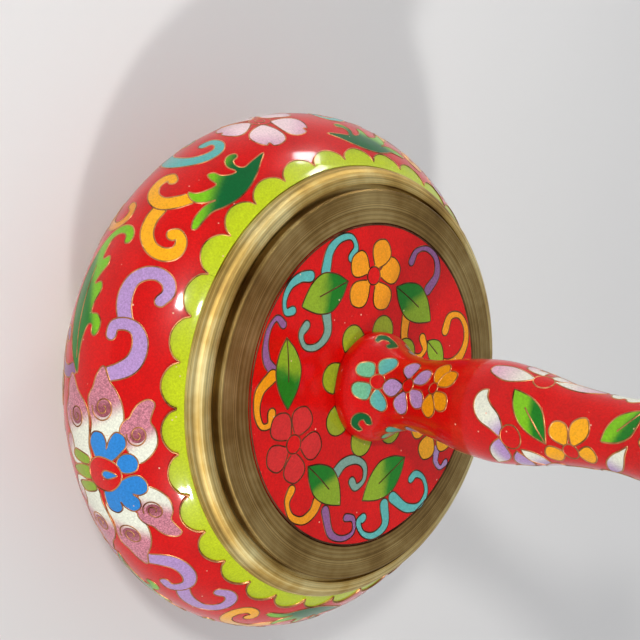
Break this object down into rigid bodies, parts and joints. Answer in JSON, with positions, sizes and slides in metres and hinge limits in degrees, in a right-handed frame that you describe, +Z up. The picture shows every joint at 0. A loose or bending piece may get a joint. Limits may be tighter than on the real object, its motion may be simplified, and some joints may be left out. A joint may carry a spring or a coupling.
{
  "type": "cloisonne incense burner",
  "caption": "Round enamelled incense burner with a brass mouth ring, an ash pan, a lift-off lid on a baluster stem, and a gilt pierced lotus head.",
  "frame": {"origin": "under the middle of the foot ring, on the surface it stands on", "axes": "+Z up along the stem, +X and +Y level; the object is round about Z"},
  "size_m": [0.12, 0.12, 0.1689],
  "materials": {
    "red_enamel": "glossy fired enamel on copper with thin gilt wires",
    "brass": "turned and finely brushed, slightly dulled",
    "gilt": "cast and gilt, softly polished"
  },
  "bodies": {
    "burner": {"foot_ring": "brass", "bowl_shell": "red_enamel", "mouth_ring": "brass", "ash_pan": "brass"},
    "lid": {"lid_plate": "brass", "lid_disc": "red_enamel", "stem": "red_enamel", "tie_tube": "brass", "lid_washer": "brass", "lid_nut": "brass", "stem_ferrule": "gilt"},
    "head": {"head_socket": "gilt", "outer_petal_1": "gilt", "outer_petal_2": "gilt", "outer_petal_3": "gilt", "outer_petal_4": "gilt", "outer_petal_5": "gilt", "outer_petal_6": "gilt", "outer_petal_7": "gilt", "outer_petal_8": "gilt", "inner_petal_1": "gilt", "inner_petal_2": "gilt", "inner_petal_3": "gilt", "inner_petal_4": "gilt", "inner_petal_5": "gilt", "inner_petal_6": "gilt", "inner_petal_7": "gilt", "inner_petal_8": "gilt", "pierced_dome": "gilt", "bud_finial": "gilt"}
  },
  "joints": [
    {"name": "lid_lift", "type": "slide", "parent": "burner", "child": "lid", "axis": [0, 0, 1], "range_m": [0, 0.09]},
    {"name": "head_lift", "type": "slide", "parent": "lid", "child": "head", "axis": [0, 0, 1], "range_m": [0, 0.03]}
  ]
}
